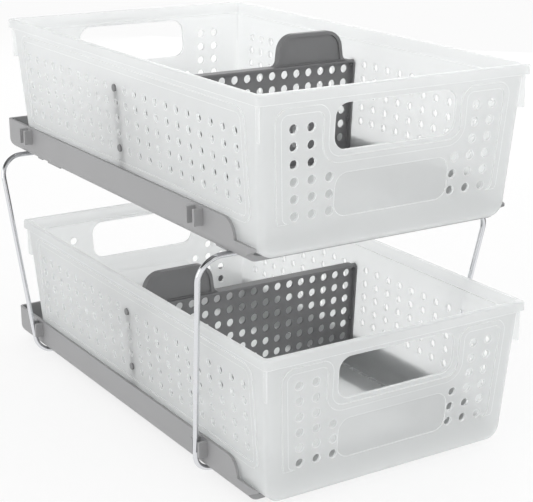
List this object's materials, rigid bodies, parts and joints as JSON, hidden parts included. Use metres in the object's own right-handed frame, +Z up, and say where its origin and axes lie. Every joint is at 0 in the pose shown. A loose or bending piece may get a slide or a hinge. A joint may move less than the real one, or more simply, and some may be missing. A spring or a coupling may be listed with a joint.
{
  "type": "under sink organizer",
  "caption": "Pull-out organizer: perforated frosted bins with handle cutouts and removable dividers, on stacked grey trays carried by leaning wire hoops.",
  "frame": {"origin": "on the surface it stands on, under the middle of its overall width and depth", "axes": "+X to the right as seen by someone who pulls the bins, -Y towards that person, +Z up"},
  "size_m": [0.232, 0.3994, 0.2687],
  "materials": {
    "frosted_plastic": "frosted",
    "grey_plastic": "satin",
    "dark_grey_plastic": "satin",
    "chromed_wire": "polished"
  },
  "bodies": {
    "stand": {"lower_tray": "grey_plastic", "upper_tray": "grey_plastic", "front_hoop": "chromed_wire", "rear_hoop": "chromed_wire"},
    "lower_drawer": {"lower_bin": "frosted_plastic", "lower_divider": "dark_grey_plastic"},
    "upper_drawer": {"upper_bin": "frosted_plastic", "upper_divider": "dark_grey_plastic"}
  },
  "joints": [
    {"name": "lower_bin_slide", "type": "slide", "parent": "stand", "child": "lower_drawer", "axis": [0, -1, 0], "range_m": [-0.034, 0.15]},
    {"name": "upper_bin_slide", "type": "slide", "parent": "stand", "child": "upper_drawer", "axis": [0, -1, 0], "range_m": [-0.028, 0.15]}
  ]
}
